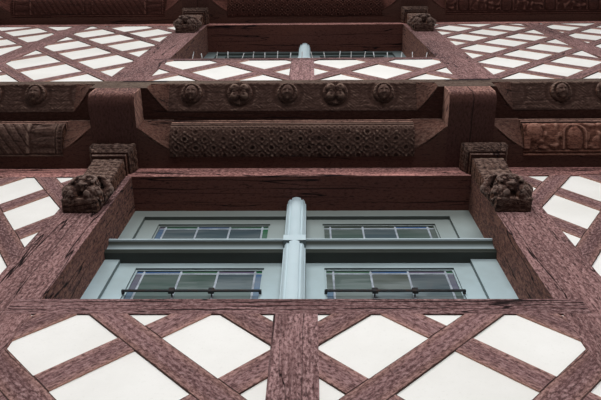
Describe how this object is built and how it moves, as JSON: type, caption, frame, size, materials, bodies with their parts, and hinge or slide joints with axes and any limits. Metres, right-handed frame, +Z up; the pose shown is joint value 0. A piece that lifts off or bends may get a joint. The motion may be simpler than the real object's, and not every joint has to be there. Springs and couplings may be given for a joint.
{
  "type": "half-timbered house front wall",
  "caption": "Two-storey half-timbered street front with a leaded window bay, lattice bracing, white plaster infill and carved jetties on brackets.",
  "frame": {"origin": "middle of the underside of the ground sill", "axes": "+X to the right seen from the street, +Y into the house, +Z up"},
  "size_m": [6.368, 1.606, 5.752],
  "materials": {
    "oak": "weathered red-brown limewashed oak",
    "carved_oak": "weathered grey-brown carved oak",
    "boards": "rough sawn boards",
    "plaster": "matt lime plaster",
    "window_paint": "pale grey-green painted joinery",
    "leaded_glass": "leaded glass"
  },
  "bodies": {
    "root": {"ground_sill": "oak", "lower_posts": "oak", "lower_stub_post": "oak", "lower_rail": "oak", "lower_plate": "oak", "lower_parapet_braces": "oak", "lower_left_lattice": "oak", "lower_right_lattice": "oak", "lower_parapet_plaster": "plaster", "lower_left_plaster": "plaster", "lower_right_plaster": "plaster", "lower_window_frame": "window_paint", "lower_mullion": "window_paint", "lower_transom": "window_paint", "lower_casements": "window_paint", "lower_top_lights": "window_paint", "lower_glass": "leaded_glass", "lower_brackets": "carved_oak", "lower_jetty_beams": "oak", "lower_fillers": "carved_oak", "upper_posts": "oak", "upper_stub_post": "oak", "upper_rail": "oak", "upper_plate": "oak", "upper_parapet_braces": "oak", "upper_left_lattice": "oak", "upper_right_lattice": "oak", "upper_parapet_plaster": "plaster", "upper_left_plaster": "plaster", "upper_right_plaster": "plaster", "upper_window_frame": "window_paint", "upper_mullion": "window_paint", "upper_transom": "window_paint", "upper_casements": "window_paint", "upper_top_lights": "window_paint", "upper_glass": "leaded_glass", "upper_brackets": "carved_oak", "upper_jetty_beams": "oak", "upper_fillers": "carved_oak", "upper_sill": "carved_oak", "upper_floor": "boards", "top_sill": "carved_oak", "top_floor": "boards"}
  },
  "joints": []
}
